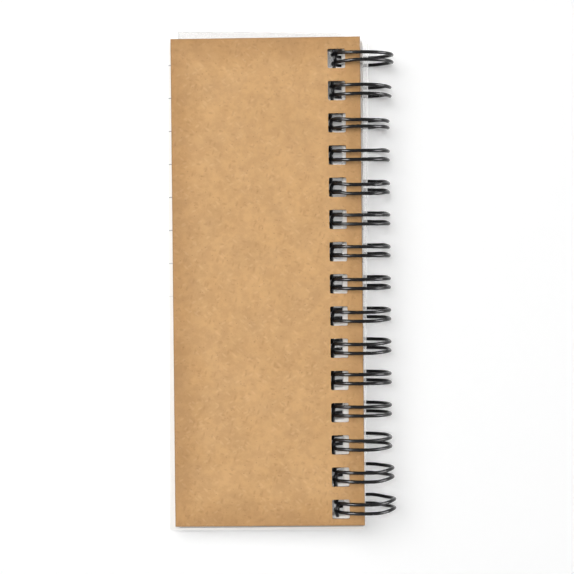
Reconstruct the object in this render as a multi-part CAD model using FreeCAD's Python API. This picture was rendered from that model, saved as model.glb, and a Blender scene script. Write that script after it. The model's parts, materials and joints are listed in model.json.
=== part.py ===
import FreeCAD, Part
import math
import os

# A tall pocket pad, bound along one long side by a twin-loop wire, lying on its front cover.
# Everything is drawn square to the rings first: Y runs along them, X = 0 and Z = 0 are their middle,
# and the sheets reach towards -X. At the end the pad is laid down on its rings and its fore-edge.
# Lengths are millimetres and angles are degrees.

Vector = FreeCAD.Vector
down_the_spine = Vector(0, -1, 0)

# Sheets: a stack of pages between two covers, which are cut a little differently
sheet_count = 75
sheet_thickness = 0.1
page_width = 51.1
page_height = 129.0
back_thickness = 1.0         # kraft board, on top as the pad lies
back_narrower = 1.2          # than the pages
back_shorter = 0.5
front_thickness = 0.5        # frosted plastic, underneath
front_wider = 0.0
front_taller = 2.6

# Binding wire: one length, bent to pairs of arms that close to rings
pair_pitch = 25.4 / 3        # three pairs to the inch
end_room = 2.4               # the least that the pages keep past the holes at either end
ring_room = 5.9              # how much wider the rings are inside than the whole pad is thick
wire_diameter = 0.9
arm_spacing = 2.33           # between the middles of a pair's two arms
root_bend = 1.0              # run of the bend where an arm leaves the spine run
seam_turn = 69.4             # where the spine runs lie, round from the top of the ring
tip_setback = 0.35           # how far the arms' tips stop short of the spine runs
cut_end = 0.3                # straight stub at each cut end of the wire
first_pair_out = 1.2         # pairs pushed out of the row, away from the pad
second_pair_out = 0.6
next_to_last_out = 0.5
last_pair_out = 0.9

# Punched holes, cut by one die through every layer
hole_width = 4.6             # across the pad
hole_length = 5.1            # along the rings
hole_corner = 0.4

# How the stack of pages has settled on the rings, which it fans round
page_margin = 5.0            # from the holes to the spine edge
page_hole_play = 0.5         # from the holes' outer edge to the widest part of the rings
page_hole_room = 0.25        # from the holes' inner edge to the rings, at the bottom sheet
page_bow = 0.3               # how far the middle sheets stand out past the top sheet
page_shift = -0.7            # of the sheets along the rings
page_slide = 0.2             # of their holes along the rings, within the holes' play
page_skew = -0.3

# How the back cover has settled
back_margin = 3.95
back_hole_play = 0.3
back_shift = 0.4
back_slide = -0.3
back_skew = 0.1

# How the front cover has settled
front_margin = 4.5
front_hole_play = 0.6
front_shift = 1.6
front_slide = 0.0
front_skew = -0.85
front_punch_skew = -0.2      # the holes were punched nearly true, the sheet was cut skew

# Clearances
seam_gap_above = 0.08        # spine runs to the back cover
seam_gap_below = 0.17        # spine runs to the pages
back_seat_gap = 0.05         # back cover to the pages at the fore-edge
front_seat_gap = 0.15        # pages to the front cover

pages_thickness = sheet_count * sheet_thickness
ring_inside = back_thickness + pages_thickness + front_thickness + ring_room
wire_radius = wire_diameter / 2
ring_radius = ring_inside / 2 + wire_radius
ring_outside = ring_radius + wire_radius
tip_radius = arm_spacing / 2
pair_count = int((page_height - 2 * end_room - hole_length) / pair_pitch) + 1
pair_places = [pair_pitch * ((pair_count - 1) / 2 - n) for n in range(pair_count)]
pair_outs = [0.0] * pair_count
pair_outs[0] = first_pair_out
pair_outs[1] = second_pair_out
pair_outs[-2] = next_to_last_out
pair_outs[-1] = last_pair_out


def on_ring(turn):
    """A point on the middle of the ring, turned from its top towards -X."""
    angle = math.radians(turn)
    return Vector(-ring_radius * math.sin(angle), 0, ring_radius * math.cos(angle))


def along_ring(turn):
    angle = math.radians(turn)
    return Vector(-math.cos(angle), 0, -math.sin(angle))


root_turn = seam_turn + math.degrees(math.atan(root_bend / ring_radius))
seam_corner = on_ring(root_turn) - along_ring(root_turn) * root_bend
apex_turn = 360 + seam_turn - math.degrees(tip_setback / ring_radius)
tip_turn = apex_turn - math.degrees(math.atan(tip_radius / ring_radius))

page_top = seam_corner.z - wire_radius - seam_gap_below
page_bottom = page_top - pages_thickness
front_top = page_bottom - front_seat_gap
back_seat = seam_corner.z + wire_radius + seam_gap_above


def ring_reach(height, radius):
    """How far a circle round the middle of the rings reaches to the side at a height."""
    return math.sqrt(radius ** 2 - height ** 2)


page_hole_x = -ring_outside - page_hole_play
back_hole_x = -ring_reach(back_seat, ring_outside) - back_hole_play
front_hole_x = -ring_reach(front_top, ring_outside) - front_hole_play

# The stack leans back towards the spine until the bottom sheet's holes clear every ring.
skew_slope = math.sin(math.radians(-page_skew))
tightest = max(out - place * skew_slope for place, out in zip(pair_places, pair_outs))
bottom_hole_x = page_hole_room + tightest - ring_reach(page_bottom, ring_inside / 2)
page_lean = bottom_hole_x - hole_width - page_hole_x


def bend(corner, inward, outward):
    """The arc that rounds a corner of the wire's path."""
    half_turn = inward.getAngle(outward) / 2
    radius = root_bend / math.tan(half_turn)
    bisector = (outward - inward).normalize()
    middle = corner + bisector * (radius / math.cos(half_turn) - radius)
    return Part.Arc(corner - inward * root_bend, middle, corner + outward * root_bend)


def wire_path():
    """The middle line of the whole wire, from one cut end to the other."""
    corners_a = []
    corners_b = []
    for place, out in zip(pair_places, pair_outs):
        corners_a.append(seam_corner + Vector(out, place + tip_radius, 0))
        corners_b.append(seam_corner + Vector(out, place - tip_radius, 0))
    stub = root_bend + cut_end
    starts = [corners_a[0] - down_the_spine * stub] + [corner + Vector() for corner in corners_b]
    ends = corners_a + [corners_b[-1] + down_the_spine * stub]
    runs = [(end - start).normalize() for start, end in zip(starts, ends)]

    root = on_ring(root_turn)
    middle = on_ring((root_turn + tip_turn) / 2)
    tip = on_ring(tip_turn)
    apex = tip + along_ring(tip_turn) * tip_radius
    into_arm = along_ring(root_turn)
    out_of_arm = into_arm * -1
    path = []
    point = starts[0]
    for n, (place, out) in enumerate(zip(pair_places, pair_outs)):
        arm_a = Vector(out, place + tip_radius, 0)
        arm_b = Vector(out, place - tip_radius, 0)
        path.append(Part.LineSegment(point, corners_a[n] - runs[n] * root_bend))
        path.append(bend(corners_a[n], runs[n], into_arm))
        path.append(Part.Arc(root + arm_a, middle + arm_a, tip + arm_a))
        path.append(Part.Arc(tip + arm_a, apex + Vector(out, place, 0), tip + arm_b))
        path.append(Part.Arc(tip + arm_b, middle + arm_b, root + arm_b))
        path.append(bend(corners_b[n], out_of_arm, runs[n + 1]))
        point = corners_b[n] + runs[n + 1] * root_bend
    path.append(Part.LineSegment(point, ends[-1]))
    return Part.Wire([curve.toShape() for curve in path])


def make_binding_wire():
    path = wire_path()
    start = path.Vertexes[0].Point
    section = Part.Wire([Part.Circle(start, down_the_spine, wire_radius).toShape()])
    return path.makePipeShell([section], True, False).Solids[0]


def skewed(shape, hole_x, angle):
    """Turn a flat layer in its own plane, about the middle of its row of holes."""
    shape.rotate(Vector(hole_x + hole_width / 2, 0, 0), Vector(0, 0, 1), angle)
    return shape


def punch(hole_x, slide, low, high):
    """One solid for each hole, from its outer edge at hole_x."""
    pins = []
    for place in pair_places:
        corner = Vector(hole_x, place + slide - hole_length / 2, low)
        pin = Part.makeBox(hole_width, hole_length, high - low, corner)
        upright = [edge for edge in pin.Edges if edge.BoundBox.ZLength > (high - low) / 2]
        pins.append(pin.makeFillet(hole_corner, upright))
    return Part.makeCompound(pins)


def make_cover(hole_x, size, margin, shift, slide, low, skew, punch_skew):
    """A flat sheet with its punched row; size is width, height and thickness."""
    width, height, thickness = size
    spine_edge = hole_x + hole_width + margin
    corner = Vector(spine_edge - width, shift - height / 2, low)
    sheet = Part.makeBox(width, height, thickness, corner)
    pins = punch(hole_x, slide, low - thickness, low + 2 * thickness)
    return skewed(sheet, hole_x, skew).cut(skewed(pins, hole_x, punch_skew)).Solids[0]


def fanned_profile(left, right):
    """The stack's outline across the rings, between two uprights bowed and leant alike."""
    halfway = (page_top + page_bottom) / 2
    left_arc = Part.Arc(
        Vector(left, 0, page_top),
        Vector(left - page_bow, 0, halfway),
        Vector(left + page_lean, 0, page_bottom))
    right_arc = Part.Arc(
        Vector(right + page_lean, 0, page_bottom),
        Vector(right - page_bow, 0, halfway),
        Vector(right, 0, page_top))
    bottom = Part.LineSegment(left_arc.EndPoint, right_arc.StartPoint)
    top = Part.LineSegment(right_arc.EndPoint, left_arc.StartPoint)
    outline = Part.Wire([curve.toShape() for curve in (left_arc, bottom, right_arc, top)])
    return Part.Face(outline)


def make_page_block():
    spine_edge = page_hole_x + hole_width + page_margin
    block = fanned_profile(spine_edge - page_width, spine_edge).extrude(Vector(0, page_height, 0))
    block.translate(Vector(0, page_shift - page_height / 2, 0))
    hole_face = fanned_profile(page_hole_x, page_hole_x + hole_width)
    pins = []
    for place in pair_places:
        pin = hole_face.extrude(Vector(0, hole_length, 0))
        upright = [edge for edge in pin.Edges if edge.BoundBox.ZLength > hole_corner]
        pin = pin.makeFillet(hole_corner, upright)
        pin.translate(Vector(0, place + page_slide - hole_length / 2, 0))
        pins.append(pin)
    return skewed(block.cut(Part.makeCompound(pins)).Solids[0], page_hole_x, page_skew)


def make_back_cover():
    size = (page_width - back_narrower, page_height - back_shorter, back_thickness)
    cover = make_cover(back_hole_x, size, back_margin, back_shift, back_slide, back_seat,
                       back_skew, back_skew)
    # It sits on the spine runs at one side and comes down to the pages at the other.
    fore_edge = cover.BoundBox.XMin
    drop = back_seat - page_top - back_seat_gap
    pitch = math.degrees(math.atan(drop / (seam_corner.x - fore_edge)))
    cover.rotate(Vector(seam_corner.x, 0, back_seat), Vector(0, 1, 0), -pitch)
    return cover


def make_front_cover():
    size = (page_width + front_wider, page_height + front_taller, front_thickness)
    low = front_top - front_thickness
    return make_cover(front_hole_x, size, front_margin, front_shift, front_slide, low,
                      front_skew, front_punch_skew)


solids = {
    "binding_wire": make_binding_wire(),
    "page_block": make_page_block(),
    "back_cover": make_back_cover(),
    "front_cover": make_front_cover(),
}

# The pad lies on its rings and on the lowest corner of the front cover's fore-edge.
corner_x = solids["front_cover"].BoundBox.XMin
corner_z = front_top - front_thickness
lie = math.degrees(math.asin(ring_outside / math.hypot(corner_x, corner_z))
                   - math.atan(corner_z / corner_x))
for solid in solids.values():
    solid.rotate(Vector(0, 0, 0), Vector(0, 1, 0), -lie)

# The origin is the middle of the ground that the pad covers.
box = Part.makeCompound(list(solids.values())).optimalBoundingBox(False, False)
to_origin = Vector(-box.Center.x, -box.Center.y, -box.ZMin)

os.makedirs("parts", exist_ok=True)
for name, solid in solids.items():
    solid.translate(to_origin)
    solid.exportStep("parts/" + name + ".step")
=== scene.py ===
import bpy
import bmesh
import json
import math
import random
from mathutils import Matrix, Vector


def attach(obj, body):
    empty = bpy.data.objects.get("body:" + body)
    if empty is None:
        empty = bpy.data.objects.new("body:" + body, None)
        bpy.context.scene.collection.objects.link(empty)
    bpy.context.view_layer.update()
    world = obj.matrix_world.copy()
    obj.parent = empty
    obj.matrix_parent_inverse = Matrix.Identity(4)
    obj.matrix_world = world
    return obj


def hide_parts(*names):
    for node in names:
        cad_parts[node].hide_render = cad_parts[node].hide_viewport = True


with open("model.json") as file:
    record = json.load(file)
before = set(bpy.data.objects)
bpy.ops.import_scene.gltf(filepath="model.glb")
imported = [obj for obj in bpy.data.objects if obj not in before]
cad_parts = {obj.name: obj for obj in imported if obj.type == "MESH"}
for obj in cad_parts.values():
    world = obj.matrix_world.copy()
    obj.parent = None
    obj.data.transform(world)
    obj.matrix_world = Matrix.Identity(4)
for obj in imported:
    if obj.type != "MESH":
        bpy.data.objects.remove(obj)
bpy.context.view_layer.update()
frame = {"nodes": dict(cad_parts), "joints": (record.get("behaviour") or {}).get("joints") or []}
print("frame loaded:", ", ".join(sorted(frame["nodes"])))

# A tall wire-bound pocket pad, lying on its frosted front cover with the kraft back cover up.
# Pieces are drawn in millimetres square to the rings: y runs along the rings, x = 0 and z = 0 are
# their middle and the sheets reach towards -x. padPlace then lays the pad down on the ground.

mm = 0.001
pad = {
    "lie": 2.746,            # tilt of the whole pad as it rests on its rings, degrees
    "hingeFromRings": 1.0,   # the back cover's hinge line to the middle of the rings
    "pairCount": 15,
    "pairPitch": 25.4 / 3,
    "holeWidth": 4.6,
    "holeLength": 5.1,
    "holeCorner": 0.4,
}

hingeLine = Vector(next(j for j in frame["joints"] if j["child"] == "back_cover")["pos_m"])
padTurn = Matrix.Rotation(-math.radians(pad["lie"]), 4, "Y")
ringMiddle = hingeLine - padTurn @ Vector((pad["hingeFromRings"] * mm, 0, 0))
padPlace = Matrix.Translation(ringMiddle) @ padTurn
pairPlaces = [pad["pairPitch"] * ((pad["pairCount"] - 1) / 2 - n) for n in range(pad["pairCount"])]

scene = bpy.context.scene
scene.view_settings.view_transform = "Standard"


# Node helpers

def addNode(tree, kind, at, **settings):
    node = tree.nodes.new("ShaderNode" + kind)
    node.location = at
    for name, value in settings.items():
        setattr(node, name, value)
    return node


def feed(tree, socket, value):
    # a socket takes a link from another socket, or a plain value
    if isinstance(value, bpy.types.NodeSocket):
        tree.links.new(value, socket)
    else:
        socket.default_value = value


def mathNode(tree, operation, a, b, at):
    node = addNode(tree, "Math", at, operation=operation)
    feed(tree, node.inputs[0], a)
    feed(tree, node.inputs[1], b)
    return node.outputs[0]


def remap(tree, value, low, high, at, outLow=0.0, outHigh=1.0):
    # eased at both ends; noise keeps near the middle of its range, so it is spread from about 0.3
    # to 0.7
    node = addNode(tree, "MapRange", at, interpolation_type="SMOOTHSTEP")
    feed(tree, node.inputs["Value"], value)
    feed(tree, node.inputs["From Min"], low)
    feed(tree, node.inputs["From Max"], high)
    feed(tree, node.inputs["To Min"], outLow)
    feed(tree, node.inputs["To Max"], outHigh)
    return node.outputs["Result"]


def mixColour(tree, mask, a, b, at, blend="MIX"):
    node = addNode(tree, "Mix", at, data_type="RGBA", blend_type=blend)
    feed(tree, node.inputs[0], mask)
    feed(tree, node.inputs[6], a)
    feed(tree, node.inputs[7], b)
    return node.outputs[2]


def shade(colour, factor):
    return tuple(channel * factor for channel in colour[:3]) + (1,)


def newGroup(name, inputs, outputs):
    # inputs are name: default, and a tuple makes a vector socket
    group = bpy.data.node_groups.new(name, "ShaderNodeTree")
    for label, default in inputs.items():
        kind = "NodeSocketVector" if isinstance(default, tuple) else "NodeSocketFloat"
        socket = group.interface.new_socket(name=label, in_out="INPUT", socket_type=kind)
        socket.default_value = default
    for label in outputs:
        group.interface.new_socket(name=label, in_out="OUTPUT", socket_type="NodeSocketFloat")
    entry = group.nodes.new("NodeGroupInput")
    entry.location = (-1200, 0)
    leave = group.nodes.new("NodeGroupOutput")
    leave.location = (600, 0)
    return group, entry.outputs, leave.inputs


def useGroup(tree, group, at, values):
    node = addNode(tree, "Group", at)
    node.node_tree = group
    for label, value in values.items():
        feed(tree, node.inputs[label], value)
    return node.outputs


# Shared effects, which all take their place in mm

def makePulpGroup():
    # the cloudy make-up of paper and board, with short fibres and specks on top
    inputs = {"Vector": (0.0, 0.0, 0.0), "Cloud Size": 6.0, "Mottle Size": 1.0, "Fibre Size": 1.0}
    group, given, out = newGroup("Pulp", inputs,
                                 ["Cloud", "Mottle", "Light Fibres", "Dark Fibres", "Specks"])
    for label, detail, row in (("Cloud", 5, 300), ("Mottle", 4, 550)):
        scale = mathNode(group, "DIVIDE", 1.0, given[label + " Size"], (-1000, row))
        noise = addNode(group, "TexNoise", (-800, row))
        noise.inputs["Detail"].default_value = detail
        noise.inputs["Roughness"].default_value = 0.62
        feed(group, noise.inputs["Vector"], given["Vector"])
        feed(group, noise.inputs["Scale"], scale)
        feed(group, out[label], noise.outputs["Fac"])

    # two sets of fibres cross in each layer, each with its turn and how long they are drawn out
    layers = {"Light Fibres": [(0.5, 2.2), (2.4, 2.8)], "Dark Fibres": [(1.3, 2.5), (2.9, 2.0)]}
    fibreScale = mathNode(group, "DIVIDE", 1.0, given["Fibre Size"], (-1000, 0))
    fibreFrom, speckFrom = 0.76, 0.86    # cells whose random colour is above this one show
    for row, (label, strokes) in enumerate(layers.items()):
        total = None
        for column, (turn, length) in enumerate(strokes):
            at = (-800 + 40 * column, -250 * (2 * row + column))
            # a stretched Voronoi cell is one fibre, and its random colour decides whether it shows
            turned = addNode(group, "Mapping", at, vector_type="TEXTURE")
            feed(group, turned.inputs["Vector"], given["Vector"])
            turned.inputs["Rotation"].default_value = (0, 0, turn)
            turned.inputs["Scale"].default_value = (length, 1.0, 1.0)
            cells = addNode(group, "TexVoronoi", (at[0] + 200, at[1]))
            feed(group, cells.inputs["Vector"], turned.outputs["Vector"])
            feed(group, cells.inputs["Scale"], fibreScale)
            parts = addNode(group, "SeparateColor", (at[0] + 400, at[1] - 80))
            feed(group, parts.inputs["Color"], cells.outputs["Color"])
            chosen = mathNode(group, "GREATER_THAN", parts.outputs[0], fibreFrom,
                              (at[0] + 560, at[1] - 80))
            body = remap(group, cells.outputs["Distance"], 0.46, 0.14, (at[0] + 400, at[1]))
            stroke = mathNode(group, "MULTIPLY", body, chosen, (at[0] + 720, at[1]))
            if total is not None:
                stroke = mathNode(group, "MAXIMUM", total, stroke, (at[0] + 880, at[1]))
            total = stroke
        feed(group, out[label], total)

    # specks are a little smaller than fibres
    speckScale = mathNode(group, "MULTIPLY", fibreScale, 1.3, (-1000, -1050))
    specks = addNode(group, "TexVoronoi", (-600, -1050))
    feed(group, specks.inputs["Vector"], given["Vector"])
    feed(group, specks.inputs["Scale"], speckScale)
    parts = addNode(group, "SeparateColor", (-400, -1130))
    feed(group, parts.inputs["Color"], specks.outputs["Color"])
    chosen = mathNode(group, "GREATER_THAN", parts.outputs[1], speckFrom, (-240, -1130))
    body = remap(group, specks.outputs["Distance"], 0.34, 0.1, (-400, -1050))
    feed(group, out["Specks"], mathNode(group, "MULTIPLY", body, chosen, (-80, -1050)))
    return group


def makeSheetEdgeGroup():
    # a band along the four edges of a flat sheet, made ragged by noise
    inputs = {"Vector": (0.0, 0.0, 0.0), "Middle": (0.0, 0.0, 0.0), "Half Size": (0.0, 0.0, 0.0),
              "Reach": 1.0, "Ragged": 0.5}
    group, given, out = newGroup("Sheet Edge", inputs, ["Band"])
    fromMiddle = addNode(group, "VectorMath", (-1000, 200), operation="SUBTRACT")
    feed(group, fromMiddle.inputs[0], given["Vector"])
    feed(group, fromMiddle.inputs[1], given["Middle"])
    flat = addNode(group, "VectorMath", (-820, 200), operation="ABSOLUTE")
    feed(group, flat.inputs[0], fromMiddle.outputs[0])
    toEdge = addNode(group, "VectorMath", (-640, 200), operation="SUBTRACT")
    feed(group, toEdge.inputs[0], given["Half Size"])
    feed(group, toEdge.inputs[1], flat.outputs[0])
    apart = addNode(group, "SeparateXYZ", (-460, 200))
    feed(group, apart.inputs[0], toEdge.outputs[0])
    nearest = mathNode(group, "MINIMUM", apart.outputs[0], apart.outputs[1], (-280, 200))
    tears = addNode(group, "TexNoise", (-820, -100))
    feed(group, tears.inputs["Vector"], given["Vector"])
    tears.inputs["Scale"].default_value = 0.42
    tears.inputs["Detail"].default_value = 4
    shift = mathNode(group, "SUBTRACT", tears.outputs["Fac"], 0.5, (-640, -100))
    shift = mathNode(group, "MULTIPLY", shift, given["Ragged"], (-460, -100))
    uneven = mathNode(group, "ADD", nearest, shift, (40, 100))
    feed(group, out["Band"], remap(group, uneven, given["Reach"], 0.0, (220, 100)))
    return group


def makeGrainGroup():
    # fine tooth for frosted plastic, coated wire and uncoated board
    inputs = {"Vector": (0.0, 0.0, 0.0), "Grain Size": 0.15, "Patch Size": 7.0}
    group, given, out = newGroup("Fine Grain", inputs, ["Height", "Patches"])
    for label, size, detail, row in (("Height", "Grain Size", 3, 100),
                                     ("Patches", "Patch Size", 4, -150)):
        scale = mathNode(group, "DIVIDE", 1.0, given[size], (-1000, row))
        noise = addNode(group, "TexNoise", (-760, row))
        feed(group, noise.inputs["Vector"], given["Vector"])
        feed(group, noise.inputs["Scale"], scale)
        noise.inputs["Detail"].default_value = detail
        feed(group, out[label], noise.outputs["Fac"])
    return group


pulp = makePulpGroup()
sheetEdge = makeSheetEdgeGroup()
fineGrain = makeGrainGroup()
print("shared shader groups made")


def newMaterial(name, place, **settings):
    # constants go straight on the shader's own sockets, and the texture place comes out in mm
    material = bpy.data.materials.new(name)
    material.use_nodes = True
    tree = material.node_tree
    shader = tree.nodes["Principled BSDF"]
    for label, value in settings.items():
        shader.inputs[label.replace("_", " ")].default_value = value
    where = addNode(tree, "Mapping", (-1500, 0), vector_type="TEXTURE")
    feed(tree, where.inputs["Vector"], addNode(tree, "TexCoord", (-1700, 0)).outputs["Object"])
    where.inputs["Location"].default_value = place.translation
    where.inputs["Rotation"].default_value = place.to_euler()
    where.inputs["Scale"].default_value = (mm, mm, mm)
    return material, tree, shader, where.outputs["Vector"]


def addBump(tree, shader, height, depth, strength):
    # depth is in mm
    bump = addNode(tree, "Bump", (-250, -400))
    bump.inputs["Distance"].default_value = depth * mm
    bump.inputs["Strength"].default_value = strength
    feed(tree, bump.inputs["Height"], height)
    feed(tree, shader.inputs["Normal"], bump.outputs["Normal"])


def makePiece(name, bm, place, materials, body, node):
    # mesh in mm to a piece in metres, riding on its body and standing for its node
    bmesh.ops.transform(bm, matrix=place @ Matrix.Scale(mm, 4), verts=bm.verts[:])
    mesh = bpy.data.meshes.new(name)
    bm.to_mesh(mesh)
    bm.free()
    piece = bpy.data.objects.new(name, mesh)
    scene.collection.objects.link(piece)
    for material in materials:
        mesh.materials.append(material)
    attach(piece, body)
    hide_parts(node)
    return piece


# The line of the binding wire, which the sheets sit on

wire = {
    "diameter": 0.9,
    "ringInside": 14.9,
    "armSpacing": 2.33,
    "rootBend": 1.0,
    "seamTurn": 69.4,        # where the spine runs lie, round from the top of the ring
    "tipSetback": 0.35,
    "cutEnd": 0.3,
    "pushedOut": {0: 1.2, 1: 0.6, 13: 0.5, 14: 0.9},    # pairs that stand out of the row
    # how far each pair leans along the spine, from head to tail: over the top, at its far side
    # and underneath
    "leanAbove": [-0.1, -0.3, -0.7, -0.6, -1.0, -0.5, -0.3, -0.4, -0.5, -0.4,
                  0.2, 0.2, -0.2, -0.1, 0.1],
    "leanFar": [0, -0.4, -0.6, -0.4, -0.5, -0.3, -0.3, -0.2, -0.1, 0, 0.1, 0.2, 0.1, 0.5, 0.7],
    "leanBelow": [0.4, 0.6, 0.4, 0.7, 0.8, 0.7, 0.5, 0.4, 0.4, 0.6, 0.3, 0.4, 0.5, 0.7, 0.9],
    "leanInHoles": 0.55,     # the most that an arm may lean where it passes a hole
    # where round a ring the lean is set: at the front cover's holes, underneath, at the opened
    # board's holes, at the far side, over the top between two turns and at the shut board's holes
    "leanTurns": [135, 195, 231, 285, 340, 375, 412],
    "pinch": {0: 0.2, 2: 0.3},    # how far a pair's two arms close up
    "pinchTurns": (135, 200, 370, 408),    # they close up between the first two and part again
    "sides": 14,
    "arcStep": 5,            # degrees between points round a ring
    "tipSteps": 12,
    "colour": (0.004, 0.004, 0.0045, 1),
    "rubbedColour": (0.011, 0.011, 0.0115, 1),
    "rubbedAmount": 0.5,
    "roughness": (0.13, 0.3),
    "cutColour": (0.52, 0.52, 0.53, 1),
    "cutRoughness": (0.3, 0.55),
    "tooth": 0.01,
}
wireRadius = wire["diameter"] / 2
ringRadius = wire["ringInside"] / 2 + wireRadius
ringOutside = ringRadius + wireRadius
tipRadius = wire["armSpacing"] / 2


def onRing(turn):
    # a point on the middle of the ring, turned from its top towards -x
    angle = math.radians(turn)
    return Vector((-ringRadius * math.sin(angle), 0, ringRadius * math.cos(angle)))


def alongRing(turn):
    angle = math.radians(turn)
    return Vector((-math.cos(angle), 0, -math.sin(angle)))


rootTurn = wire["seamTurn"] + math.degrees(math.atan(wire["rootBend"] / ringRadius))
seamCorner = onRing(rootTurn) - alongRing(rootTurn) * wire["rootBend"]
apexTurn = 360 + wire["seamTurn"] - math.degrees(wire["tipSetback"] / ringRadius)
tipTurn = apexTurn - math.degrees(math.atan(tipRadius / ringRadius))


def ringReach(height):
    return math.sqrt(ringOutside ** 2 - height ** 2)


# Sheets: boards and pages share one way of being cut and punched

stack = {
    "pageCount": 75,
    "pagePitch": 0.1,        # from one sheet to the next
    "gapAbove": 0.08,        # spine runs to the back cover
    "gapBelow": 0.17,        # spine runs to the pages
    "backSeatGap": 0.05,     # the back cover's fore-edge to the pages
    "frontSeatGap": 0.15,    # the pages to the front cover
}
backSeat = seamCorner.z + wireRadius + stack["gapAbove"]
pageTop = seamCorner.z - wireRadius - stack["gapBelow"]
pageBottom = pageTop - stack["pageCount"] * stack["pagePitch"]
frontTop = pageBottom - stack["frontSeatGap"]


def holeOutline(sheet, middle):
    # a rounded rectangle, as x, y points in mm, turned about the middle of the punched row
    halfWidth, halfLength, corner = pad["holeWidth"] / 2, pad["holeLength"] / 2, pad["holeCorner"]
    middle += sheet["slide"]
    steps = 4
    points = []
    for signX, signY, start in ((1, 1, 0), (-1, 1, 90), (-1, -1, 180), (1, -1, 270)):
        centre = Vector((signX * (halfWidth - corner), middle + signY * (halfLength - corner), 0))
        for step in range(steps + 1):
            angle = math.radians(start + 90 * step / steps)
            points.append(centre + corner * Vector((math.cos(angle), math.sin(angle), 0)))
    spin = Matrix.Rotation(math.radians(sheet["punchTurn"]), 3, "Z")
    return [spin @ point for point in points]


def sheetEnds(sheet):
    return sheet["shift"] - sheet["height"] / 2, sheet["shift"] + sheet["height"] / 2


def addSheet(bm, sheet, place=Matrix.Identity(4), cell=None):
    # one punched sheet: x = 0 is the middle of its row of holes and z = 0 its underside
    right = pad["holeWidth"] / 2 + sheet["margin"]
    left = right - sheet["width"]
    low, high = sheetEnds(sheet)
    corners = [(left, low, 0), (right, low, 0), (right, high, 0), (left, high, 0)]
    outlines = [[Vector(corner) for corner in corners]]
    outlines += [holeOutline(sheet, middle) for middle in pairPlaces]
    flat = bmesh.new()
    for outline in outlines:
        verts = [flat.verts.new(point) for point in outline]
        for a, b in zip(verts, verts[1:] + verts[:1]):
            flat.edges.new((a, b))
    bmesh.ops.triangle_fill(flat, use_beauty=True, edges=flat.edges[:], normal=(0, 0, 1))
    if cell:
        # cuts across the sheet give it points to bend at
        for axis, start, end in ((0, left, right), (1, low, high)):
            count = max(2, round((end - start) / cell))
            for n in range(1, count):
                cut = Vector((0, 0, 0))
                cut[axis] = start + (end - start) * n / count
                along = Vector((0, 0, 0))
                along[axis] = 1
                bmesh.ops.bisect_plane(flat, geom=flat.verts[:] + flat.edges[:] + flat.faces[:],
                                       dist=1e-4, plane_co=cut, plane_no=along)
    for face in flat.faces:
        if face.normal.z > 0:
            face.normal_flip()
    raised = bmesh.ops.extrude_face_region(flat, geom=flat.faces[:])
    top = [item for item in raised["geom"] if isinstance(item, bmesh.types.BMVert)]
    bmesh.ops.translate(flat, verts=top, vec=(0, 0, sheet["thickness"]))
    bmesh.ops.recalc_face_normals(flat, faces=flat.faces[:])
    for face in flat.faces:
        if abs(face.normal.z) < 0.5:
            face.material_index = 1    # the cut edge
    bmesh.ops.transform(flat, matrix=place, verts=flat.verts[:])
    part = bpy.data.meshes.new("part")
    flat.to_mesh(part)
    flat.free()
    bm.from_mesh(part)
    bpy.data.meshes.remove(part)


def rowPlace(holeX, low, skew):
    # where a sheet's row of holes lies, from the holes' edge away from the spine, the height of the
    # sheet's underside and its skew
    middle = Matrix.Translation((holeX + pad["holeWidth"] / 2, 0, low))
    return middle @ Matrix.Rotation(math.radians(skew), 4, "Z")


def inMetres(place):
    # the same place with its shift in metres
    copy = place.copy()
    copy.translation = place.translation * mm
    return copy


def edgeBand(tree, sheet, where, reach, ragged, at):
    # the shared edge effect, fitted to one sheet
    middle = (pad["holeWidth"] / 2 + sheet["margin"] - sheet["width"] / 2, sheet["shift"], 0)
    halfSize = (sheet["width"] / 2, sheet["height"] / 2, 0)
    values = {"Vector": where, "Middle": middle, "Half Size": halfSize, "Reach": reach,
              "Ragged": ragged}
    return useGroup(tree, sheetEdge, at, values)["Band"]


# Kraft back cover

kraftCover = {
    "width": 49.9,
    "height": 128.5,
    "thickness": 1.0,
    "margin": 3.95,          # from the holes to the spine edge
    "shift": 0.4,            # of the sheet along the rings
    "slide": -0.3,           # of the holes along the rings
    "punchTurn": 0.0,
    "skew": 0.1,
    "holePlay": 0.3,         # from the rings to the holes' edge away from the spine
    "cell": 6,               # between the points that the board bends at
    "cockle": 0.1,           # how far the board is out of flat
    "rollAcross": 19,        # mm for each radian of its roll and its wave
    "waveAlong": 27,
    "waveAcross": 33,
    "edgeRound": 0.1,
    "colour": (0.628, 0.364, 0.153, 1),
    "cloudSize": 9.0,
    "cloudShades": (0.95, 1.06),
    "mottleSize": 2.0,
    "mottle": ((0.955, 0.945, 0.93, 1), (1.04, 1.05, 1.06, 1)),    # multiplies the board's colour
    "fibreSize": 0.9,
    # the colour of each kind of fleck and how strongly it shows
    "flecks": {
        "Light Fibres": ((0.783, 0.5, 0.255, 1), 0.3),
        "Dark Fibres": ((0.467, 0.248, 0.093, 1), 0.36),
        "Specks": ((0.315, 0.152, 0.06, 1), 0.35),
    },
    # the board is darker in a ragged band along its edges
    "darkBandColour": (0.79, 0.74, 0.66, 1),    # multiplies the board's colour
    "darkBandReach": 10.0,
    "darkBandRagged": 3.0,
    "darkBandAmount": 0.85,
    # painted shade: a dark rim along the board's cut edges
    "edgeShade": (0.326, 0.185, 0.087, 1),
    "rimReach": 0.4,
    "rimRagged": 0.3,
    "rimAmount": 0.7,
    "cutEdge": (0.489, 0.279, 0.122, 1),
    "plyShades": (0.72, 1.15),
    "plySquash": (0.35, 0.35, 7.0),    # what makes layers of the noise: across, along, through
    "roughness": (0.74, 0.88),
    "tooth": 0.03,
    "cutTooth": 0.05,
}


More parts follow.
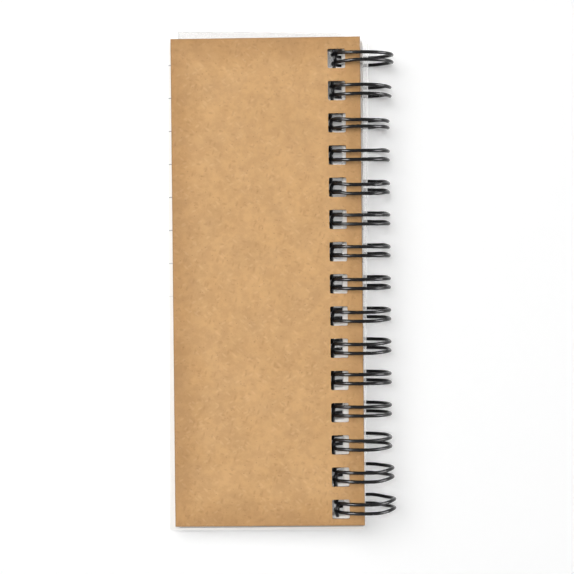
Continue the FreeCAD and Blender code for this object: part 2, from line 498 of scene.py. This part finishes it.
def kraftMaterial(place):
    look = kraftCover
    material, tree, shader, where = newMaterial("kraft board", place, Specular_IOR_Level=0.25)
    fibres = useGroup(tree, pulp, (-1200, 200),
                      {"Vector": where, "Cloud Size": look["cloudSize"],
                       "Mottle Size": look["mottleSize"], "Fibre Size": look["fibreSize"]})
    cloud = remap(tree, fibres["Cloud"], 0.3, 0.7, (-950, 600))
    darkest, palest = (shade(look["colour"], factor) for factor in look["cloudShades"])
    colour = mixColour(tree, cloud, darkest, palest, (-750, 600))
    mottle = remap(tree, fibres["Mottle"], 0.36, 0.64, (-950, 420))
    mottled = mixColour(tree, mottle, *look["mottle"], (-750, 400))
    colour = mixColour(tree, 1.0, colour, mottled, (-640, 500), "MULTIPLY")
    for row, (label, (fleckColour, amount)) in enumerate(look["flecks"].items()):
        mask = mathNode(tree, "MULTIPLY", fibres[label], amount, (-950, 250 - 200 * row))
        at = (-560 + 180 * row, 400 - 100 * row)
        colour = mixColour(tree, mask, colour, fleckColour, at)
    # the board is made darker in a ragged band along its four edges
    darkBand = edgeBand(tree, look, where, look["darkBandReach"], look["darkBandRagged"],
                       (-1200, -250))
    darkBand = mathNode(tree, "MULTIPLY", darkBand, look["darkBandAmount"], (-560, -100))
    colour = mixColour(tree, darkBand, colour, look["darkBandColour"], (0, 150), "MULTIPLY")
    # painted shade: a thin dark rim along the cut edges of the board's top
    rim = edgeBand(tree, look, where, look["rimReach"], look["rimRagged"], (-1200, -450))
    rim = mathNode(tree, "MULTIPLY", rim, look["rimAmount"], (-560, -220))
    colour = mixColour(tree, rim, colour, look["edgeShade"], (150, 100))
    feed(tree, shader.inputs["Base Color"], colour)
    grain = useGroup(tree, fineGrain, (-1200, -600), {"Vector": where, "Grain Size": 0.22})
    worn = remap(tree, grain["Patches"], 0.3, 0.7, (-560, -350), *look["roughness"])
    feed(tree, shader.inputs["Roughness"], worn)
    raised = mathNode(tree, "MULTIPLY", fibres["Light Fibres"], 0.8, (-750, -550))
    height = mathNode(tree, "ADD", grain["Height"], raised, (-560, -600))
    addBump(tree, shader, height, look["tooth"], 0.4)
    return material


def boardEdgeMaterial(place):
    # the cut edge of the board shows its layers
    look = kraftCover
    material, tree, shader, where = newMaterial("board edge", place, Specular_IOR_Level=0.2,
                                                Roughness=0.9)
    squashed = addNode(tree, "Mapping", (-1250, 0))
    feed(tree, squashed.inputs["Vector"], where)
    squashed.inputs["Scale"].default_value = look["plySquash"]
    layers = addNode(tree, "TexNoise", (-1050, 0))
    feed(tree, layers.inputs["Vector"], squashed.outputs["Vector"])
    layers.inputs["Scale"].default_value = 1.0
    layers.inputs["Detail"].default_value = 4
    ply = remap(tree, layers.outputs["Fac"], 0.35, 0.65, (-850, 0))
    darkest, palest = (shade(look["cutEdge"], factor) for factor in look["plyShades"])
    feed(tree, shader.inputs["Base Color"], mixColour(tree, ply, darkest, palest, (-600, 100)))
    addBump(tree, shader, layers.outputs["Fac"], look["cutTooth"], 0.8)
    return material


def makeKraftCover():
    look = kraftCover
    bm = bmesh.new()
    addSheet(bm, look, cell=look["cell"])
    # board is never quite flat: a long roll across it and a slow wave along it
    for vert in bm.verts:
        x, y = vert.co.x, vert.co.y
        roll = math.sin(x / look["rollAcross"] + 0.6)
        wave = math.sin(y / look["waveAlong"] - 1.1) * math.cos(x / look["waveAcross"])
        vert.co.z += look["cockle"] * (0.3 * roll * wave - 0.2 * wave + 0.5)
    holeX = -ringReach(backSeat) - look["holePlay"]
    row = rowPlace(holeX, backSeat, look["skew"])
    # it sits on the spine runs at one side and comes down to the pages at the other
    left = pad["holeWidth"] / 2 + look["margin"] - look["width"]
    foreEdge = min((row @ Vector((left, y, 0))).x for y in sheetEnds(look))
    drop = backSeat - pageTop - stack["backSeatGap"]
    pitch = math.atan(drop / (seamCorner.x - foreEdge))
    seam = Matrix.Translation((seamCorner.x, 0, backSeat))
    pitched = seam @ Matrix.Rotation(-pitch, 4, "Y") @ seam.inverted() @ row
    place = padPlace @ inMetres(pitched)
    materials = [kraftMaterial(place), boardEdgeMaterial(place)]
    piece = makePiece("kraftCover", bm, place, materials, "back_cover", "back_cover")
    # the bevel keeps flat faces flat and only softens the cut edges
    bevel = piece.modifiers.new("cut edges", "BEVEL")
    bevel.width = look["edgeRound"] * mm
    bevel.segments = 3
    bevel.limit_method = "ANGLE"
    bevel.angle_limit = math.radians(40)
    bevel.use_clamp_overlap = True
    bevel.harden_normals = True
    piece.data.shade_smooth()


makeKraftCover()
print("kraft cover made")


# Frosted front cover

frostedCover = {
    "width": 51.1,
    "height": 131.6,
    "thickness": 0.5,
    "margin": 4.5,
    "shift": 1.6,
    "slide": 0.0,
    "punchTurn": 0.65,       # the holes are truer to the rings than the sheet's edges
    "skew": -0.85,
    "holePlay": 0.6,
    "colour": (0.82, 0.805, 0.79, 1),
    "milkShade": 0.97,
    # painted highlight: a paler rim along the sheet's cut edges
    "edgeHighlight": (0.97, 0.97, 0.965, 1),
    "rimReach": 0.35,
    "rimRagged": 0.3,
    "cover": (0.209, 0.231),    # how much of what is behind it the sheet hides
    "edgeHighlightCover": 0.15,        # what its painted highlight rim hides on top of that
    "glowStrength": 0.44,        # painted glow: light the sheet gives out in from its spine edge, so its strip beside the rings looks lit
    "glowColour": (1, 0.99, 0.98, 1),
    "glowReach": (9.0, 5.0),     # in from the spine edge, where it starts and where it is full
    "roughness": (0.26, 0.35),
    "tooth": 0.02,
}


def frostedMaterial(place):
    look = frostedCover
    material, tree, shader, where = newMaterial("frosted sheet", place, IOR=1.49,
                                                Specular_IOR_Level=0.6,
                                                Emission_Color=look["glowColour"])
    grain = useGroup(tree, fineGrain, (-1200, -300), {"Vector": where, "Grain Size": 0.16})
    haze = remap(tree, grain["Patches"], 0.3, 0.7, (-750, -100), *look["roughness"])
    feed(tree, shader.inputs["Roughness"], haze)
    milky = remap(tree, grain["Patches"], 0.25, 0.75, (-750, 300))
    thin = shade(look["colour"], look["milkShade"])
    body = mixColour(tree, milky, thin, look["colour"], (-560, 300))
    # painted highlight: a paler, less clear rim along the cut edges
    rim = edgeBand(tree, look, where, look["rimReach"], look["rimRagged"], (-1200, 200))
    colour = mixColour(tree, rim, body, look["edgeHighlight"], (-350, 200))
    feed(tree, shader.inputs["Base Color"], colour)
    # painted glow: emission rises in from the spine edge and brightens the strip beside the rings
    apart = addNode(tree, "SeparateXYZ", (-1200, -600))
    feed(tree, apart.inputs[0], where)
    spineEdge = pad["holeWidth"] / 2 + look["margin"]
    starts, full = (spineEdge - reach for reach in look["glowReach"])
    glow = remap(tree, apart.outputs[0], starts, full, (-750, -500), 0.0, look["glowStrength"])
    feed(tree, shader.inputs["Emission Strength"], glow)
    cover = remap(tree, grain["Patches"], 0.25, 0.75, (-560, 0), *look["cover"])
    edgeHighlightCover = mathNode(tree, "MULTIPLY", rim, look["edgeHighlightCover"], (-560, -200))
    feed(tree, shader.inputs["Alpha"], mathNode(tree, "ADD", cover, edgeHighlightCover, (-350, -50)))
    addBump(tree, shader, grain["Height"], look["tooth"], 0.5)
    return material


def makeFrostedCover():
    look = frostedCover
    bm = bmesh.new()
    addSheet(bm, look)
    holeX = -ringReach(frontTop) - look["holePlay"]
    place = padPlace @ inMetres(rowPlace(holeX, frontTop - look["thickness"], look["skew"]))
    material = frostedMaterial(place)
    makePiece("frostedCover", bm, place, [material, material], "front_cover", "front_cover")


makeFrostedCover()
print("frosted cover made")


# Pages

pages = {
    "thickness": 0.088,      # a little under the pitch, so the sheets show apart
    "width": 51.04,
    "height": 128.9,
    "margin": 5.0,
    "shift": -0.7,
    "slide": 0.2,
    "punchTurn": 0.0,
    "skew": -0.3,
    "holePlay": 0.5,         # from the widest part of the rings to the holes, away from the spine
    "holeRoom": 0.25,        # from the rings to the holes' spine edge, at the bottom sheet
    "bow": 0.3,
    "strayAcross": 0.05,     # how unevenly the sheets have settled on the rings
    "strayAlong": 0.06,
    "straySkew": 0.02,
    "seed": 7,
    "colour": (0.95, 0.935, 0.91, 1),
    "cloudSize": 4.0,
    "cloudShade": 0.975,
    "fibreSize": 0.7,
    "fibreColour": (0.6, 0.57, 0.53, 1),
    "fibreAmount": 0.05,
    "ruleColour": (0.35, 0.36, 0.38, 1),
    "rulePitch": 8.72,
    "ruleWidth": 0.22,
    "ruleStart": 3.25,       # where a line falls, from the middle of the rings
    "ruleStop": (1.6, 2.6),  # in from the fore-edge, where a line ends and where it is full
    "ruleFade": (-14.0, 18.0),    # along the rings, from where the lines stop so to where none does
    "tooth": 0.01,
}


def paperMaterial(place):
    look = pages
    material, tree, shader, where = newMaterial("ruled paper", place, Roughness=0.9,
                                                Specular_IOR_Level=0.2)
    fibres = useGroup(tree, pulp, (-1200, 200),
                      {"Vector": where, "Cloud Size": look["cloudSize"],
                       "Fibre Size": look["fibreSize"]})
    cloud = remap(tree, fibres["Cloud"], 0.3, 0.7, (-950, 400))
    darkest = shade(look["colour"], look["cloudShade"])
    colour = mixColour(tree, cloud, darkest, look["colour"], (-750, 400))
    dark = mathNode(tree, "MULTIPLY", fibres["Dark Fibres"], look["fibreAmount"], (-950, 150))
    colour = mixColour(tree, dark, colour, look["fibreColour"], (-560, 300))
    # ruled lines across the sheet, every rulePitch down it
    apart = addNode(tree, "SeparateXYZ", (-1200, -200))
    feed(tree, apart.inputs[0], where)
    steps = mathNode(tree, "DIVIDE", apart.outputs[1], look["rulePitch"], (-1000, -200))
    steps = mathNode(tree, "ADD", steps, look["ruleStart"] / look["rulePitch"], (-840, -200))
    saw = mathNode(tree, "PINGPONG", steps, 0.5, (-680, -200))
    half = look["ruleWidth"] / look["rulePitch"] / 2
    line = remap(tree, saw, half * 1.3, half * 0.7, (-520, -200))
    # the print stops short of the trimmed fore-edge towards the tail
    holeX = -ringOutside - look["holePlay"]
    foreEdge = holeX + pad["holeWidth"] + look["margin"] - look["width"]
    ends, full = (foreEdge + inset for inset in look["ruleStop"])
    inside = remap(tree, apart.outputs[0], ends, full, (-1000, -350))
    headward = remap(tree, apart.outputs[1], *look["ruleFade"], (-1000, -600))
    reach = mathNode(tree, "MAXIMUM", inside, headward, (-680, -400))
    line = mathNode(tree, "MULTIPLY", line, reach, (-350, -200))
    colour = mixColour(tree, line, colour, look["ruleColour"], (-350, 200))
    feed(tree, shader.inputs["Base Color"], colour)
    grain = useGroup(tree, fineGrain, (-1200, -500), {"Vector": where, "Grain Size": 0.12})
    addBump(tree, shader, grain["Height"], look["tooth"], 0.5)
    return material


def makePages():
    look = pages
    rng = random.Random(look["seed"])
    holeX = -ringOutside - look["holePlay"]
    # the stack leans back until the bottom sheet's holes clear the rings that are pushed out
    slope = math.sin(math.radians(-look["skew"]))
    tightest = max(wire["pushedOut"].get(n, 0) - place * slope
                   for n, place in enumerate(pairPlaces))
    insideReach = math.sqrt((wire["ringInside"] / 2) ** 2 - pageBottom ** 2)
    lean = look["holeRoom"] + tightest - insideReach - pad["holeWidth"] - holeX
    bm = bmesh.new()
    for n in range(stack["pageCount"]):
        down = n / (stack["pageCount"] - 1)
        # the stack bows out past its top sheet, then leans back towards the spine
        fan = (2 * lean + 4 * look["bow"]) * down ** 2 - (lean + 4 * look["bow"]) * down
        low = pageTop - (n + 1) * stack["pagePitch"]
        row = rowPlace(holeX, low, look["skew"] + rng.gauss(0, look["straySkew"]))
        across = fan + abs(rng.gauss(0, look["strayAcross"]))
        along = abs(rng.gauss(0, look["strayAlong"]))
        addSheet(bm, look, Matrix.Translation((across, along, 0)) @ row)
    material = paperMaterial(padPlace)
    makePiece("pages", bm, padPlace, [material, material], "pad", "page_block")


makePages()
print("pages made")


# Binding wire

def smoothBetween(keys, at):
    # keys are (place, value) in order, eased from one to the next
    for (a, low), (b, high) in zip(keys, keys[1:]):
        if at <= b:
            t = max(0.0, (at - a) / (b - a))
            return low + (high - low) * t * t * (3 - 2 * t)
    return keys[-1][1]


def leanOf(pair, turn, side=0):
    # side is 1 for the pair's arm towards the head and -1 for the other
    above, far, below = wire["leanAbove"][pair], wire["leanFar"][pair], wire["leanBelow"][pair]
    # less of the lean shows at the front cover's and the shut board's holes, and none has more
    # of it than most
    most = wire["leanInHoles"]
    atFrontHole, atOpenHole, atShutHole = (max(-most, min(most, lean))
                                           for lean in (0.5 * below, below, 0.7 * above))
    leans = [atFrontHole, below, atOpenHole, far, above, above, atShutHole]
    lean = smoothBetween([(rootTurn, 0)] + list(zip(wire["leanTurns"], leans)), turn)
    pinch = wire["pinch"].get(pair, 0)
    closing = smoothBetween(list(zip(wire["pinchTurns"], (0, pinch, pinch, 0))), turn)
    return lean - side * closing


def bendPoints(corner, inward, outward, steps=5):
    # the arc that rounds a corner of the wire
    half = inward.angle(outward) / 2
    radius = wire["rootBend"] / math.tan(half)
    bisector = (outward - inward).normalized()
    centre = corner + bisector * (radius / math.cos(half))
    start = corner - inward * wire["rootBend"] - centre
    end = corner + outward * wire["rootBend"] - centre
    return [centre + start.slerp(end, n / steps) for n in range(steps + 1)]


def wireLine():
    # the middle line of the whole wire, from one cut end to the other
    down = Vector((0, -1, 0))
    outs = [Vector((wire["pushedOut"].get(n, 0), 0, 0)) for n in range(pad["pairCount"])]
    # the spine runs turn into the first arm of a pair at headCorners and come back at tailCorners
    headCorners, tailCorners = ([seamCorner + out + Vector((0, place + offset, 0))
                                 for out, place in zip(outs, pairPlaces)]
                                for offset in (tipRadius, -tipRadius))
    stub = wire["rootBend"] + wire["cutEnd"]
    starts = [headCorners[0] - down * stub] + tailCorners
    ends = headCorners + [tailCorners[-1] + down * stub]
    runs = [(end - start).normalized() for start, end in zip(starts, ends)]
    intoArm = alongRing(rootTurn)
    points = [starts[0]]
    armSteps = round((tipTurn - rootTurn) / wire["arcStep"])
    turns = [rootTurn + (tipTurn - rootTurn) * n / armSteps for n in range(1, armSteps)]
    for n, (out, place) in enumerate(zip(outs, pairPlaces)):
        points += bendPoints(headCorners[n], runs[n], intoArm)
        for turn in turns:
            across = place + tipRadius + leanOf(n, turn, 1)
            points.append(onRing(turn) + out + Vector((0, across, 0)))
        # the closed tip, a half circle from one arm to the other
        centre = onRing(tipTurn) + out + Vector((0, place + leanOf(n, tipTurn), 0))
        ahead = alongRing(tipTurn)
        for step in range(wire["tipSteps"] + 1):
            angle = math.pi * step / wire["tipSteps"]
            fromCentre = Vector((0, math.cos(angle), 0)) + ahead * math.sin(angle)
            points.append(centre + tipRadius * fromCentre)
        for turn in reversed(turns):
            across = place - tipRadius + leanOf(n, turn, -1)
            points.append(onRing(turn) + out + Vector((0, across, 0)))
        points += bendPoints(tailCorners[n], -intoArm, runs[n + 1])
    points.append(ends[-1])
    return points


def coatedMaterial(place):
    look = wire
    material, tree, shader, where = newMaterial("black coating", place, IOR=1.5,
                                                Specular_IOR_Level=0.2)
    grain = useGroup(tree, fineGrain, (-1000, -200),
                     {"Vector": where, "Grain Size": 0.35, "Patch Size": 12.0})
    gloss = remap(tree, grain["Patches"], 0.35, 0.7, (-600, -100), *look["roughness"])
    feed(tree, shader.inputs["Roughness"], gloss)
    rubbed = remap(tree, grain["Patches"], 0.4, 0.75, (-600, 200), 0.0, look["rubbedAmount"])
    colour = mixColour(tree, rubbed, look["colour"], look["rubbedColour"], (-350, 200))
    feed(tree, shader.inputs["Base Color"], colour)
    addBump(tree, shader, grain["Height"], look["tooth"], 0.35)
    return material


def cutSteelMaterial(place):
    look = wire
    material, tree, shader, where = newMaterial("cut steel", place, Metallic=1.0,
                                                Base_Color=look["cutColour"])
    grain = useGroup(tree, fineGrain, (-1000, -200), {"Vector": where, "Grain Size": 0.08})
    gloss = remap(tree, grain["Height"], 0.3, 0.7, (-600, -100), *look["cutRoughness"])
    feed(tree, shader.inputs["Roughness"], gloss)
    addBump(tree, shader, grain["Height"], look["tooth"], 0.5)
    return material


def makeWire():
    # a ring of points is carried along the line without twisting
    line = wireLine()
    bm = bmesh.new()
    tangents = [(after - before).normalized()
                for before, after in zip(line[:1] + line[:-1], line[1:] + line[-1:])]
    side = Vector((0, 0, 1)).cross(tangents[0]).normalized()
    rings = []
    for n, (point, tangent) in enumerate(zip(line, tangents)):
        if n:
            side = tangents[n - 1].rotation_difference(tangent) @ side
            side = (side - tangent * side.dot(tangent)).normalized()
        up = tangent.cross(side)
        ring = []
        for k in range(wire["sides"]):
            angle = 2 * math.pi * k / wire["sides"]
            outwards = math.cos(angle) * side + math.sin(angle) * up
            ring.append(bm.verts.new(point + wireRadius * outwards))
        rings.append(ring)
    for low, high in zip(rings, rings[1:]):
        for k in range(wire["sides"]):
            after = (k + 1) % wire["sides"]
            bm.faces.new((low[k], low[after], high[after], high[k])).smooth = True
    for cap in (rings[0][::-1], rings[-1]):
        bm.faces.new(cap).material_index = 1
    bmesh.ops.recalc_face_normals(bm, faces=bm.faces[:])
    materials = [coatedMaterial(padPlace), cutSteelMaterial(padPlace)]
    makePiece("bindingWire", bm, padPlace, materials, "pad", "binding_wire")


makeWire()
print("binding wire made")


# Floor, light and camera

studio = {
    "floorSize": 3.0,
    "floorColour": (0.95, 0.95, 0.95, 1),
    "floorLift": 0.13,       # what the camera sees on top of the floor's own light
    "ambient": 0.12,
    # each lamp's direction from the pad, its distance, size and power, and whether it gives light
    # or only a shine on glossy surfaces
    "lamps": {
        "key": ((-0.42, 0.31, 0.86), 1.8, (1.2, 1.2), 18.0, "light"),
        "fill": ((-0.05, 0.08, 1.0), 1.8, (0.5, 0.5), 13.0, "light"),
        "leftGlint": ((-0.8, 0.1, 0.6), 0.9, (0.6, 0.4), 26.0, "shine"),
        "rightGlint": ((0.95, 0.1, 0.3), 0.9, (0.6, 0.5), 20.0, "shine"),
    },
    "cameraAxis": (-19.27, -1.01),   # from the middle of the rings, in mm
    "cameraHeight": 438.8,           # above the middle of the rings
    "cameraRoll": -0.5,
    "fieldOfView": 19.7,
}


def seenRays(tree):
    # 1 for what the camera sees, directly, in a reflection or through the frosted sheet
    rays = addNode(tree, "LightPath", (-900, -300)).outputs
    seen = mathNode(tree, "MAXIMUM", rays["Is Camera Ray"], rays["Is Glossy Ray"], (-700, -300))
    return mathNode(tree, "MAXIMUM", seen, rays["Is Transmission Ray"], (-500, -300))


def makeFloor():
    mesh = bpy.data.meshes.new("floor")
    half = studio["floorSize"] / 2
    corners = [(-half, -half, 0), (half, -half, 0), (half, half, 0), (-half, half, 0)]
    mesh.from_pydata(corners, [], [(0, 1, 2, 3)])
    floor = bpy.data.objects.new("floor", mesh)
    scene.collection.objects.link(floor)
    material = bpy.data.materials.new("floor")
    material.use_nodes = True
    tree = material.node_tree
    shader = tree.nodes["Principled BSDF"]
    shader.inputs["Base Color"].default_value = studio["floorColour"]
    shader.inputs["Roughness"].default_value = 1
    shader.inputs["Specular IOR Level"].default_value = 0
    shader.inputs["Emission Color"].default_value = (1, 1, 1, 1)
    lift = mathNode(tree, "MULTIPLY", seenRays(tree), studio["floorLift"], (-300, -300))
    feed(tree, shader.inputs["Emission Strength"], lift)
    mesh.materials.append(material)


def makeWorld():
    world = bpy.data.worlds.new("studio")
    scene.world = world
    world.use_nodes = True
    tree = world.node_tree
    backdrop = tree.nodes["Background"]
    backdrop.inputs["Color"].default_value = (1, 1, 1, 1)
    strength = remap(tree, seenRays(tree), 0, 1, (-250, -300), studio["ambient"], 1.0)
    feed(tree, backdrop.inputs["Strength"], strength)


def makeLamps():
    for name, (direction, distance, size, power, job) in studio["lamps"].items():
        lamp = bpy.data.lights.new(name, "AREA")
        lamp.shape = "RECTANGLE"
        lamp.size, lamp.size_y = size
        lamp.energy = power
        stand = bpy.data.objects.new(name, lamp)
        stand.visible_glossy = job == "shine"
        stand.visible_diffuse = job == "light"
        scene.collection.objects.link(stand)
        away = Vector(direction).normalized()
        stand.location = away * distance
        stand.rotation_euler = away.to_track_quat("Z", "Y").to_euler()


def makeCamera():
    data = bpy.data.cameras.new("camera")
    data.sensor_width = 36
    data.lens = data.sensor_width / 2 / math.tan(math.radians(studio["fieldOfView"] / 2))
    camera = bpy.data.objects.new("camera", data)
    scene.collection.objects.link(camera)
    # it looks square at the rings, down the pad's own z
    above = Vector((*studio["cameraAxis"], studio["cameraHeight"]))
    roll = Matrix.Rotation(math.radians(studio["cameraRoll"]), 4, "Z")
    camera.matrix_world = padPlace @ Matrix.Translation(above * mm) @ roll
    scene.camera = camera


makeFloor()
makeWorld()
makeLamps()
makeCamera()
print("floor, lamps and camera made")
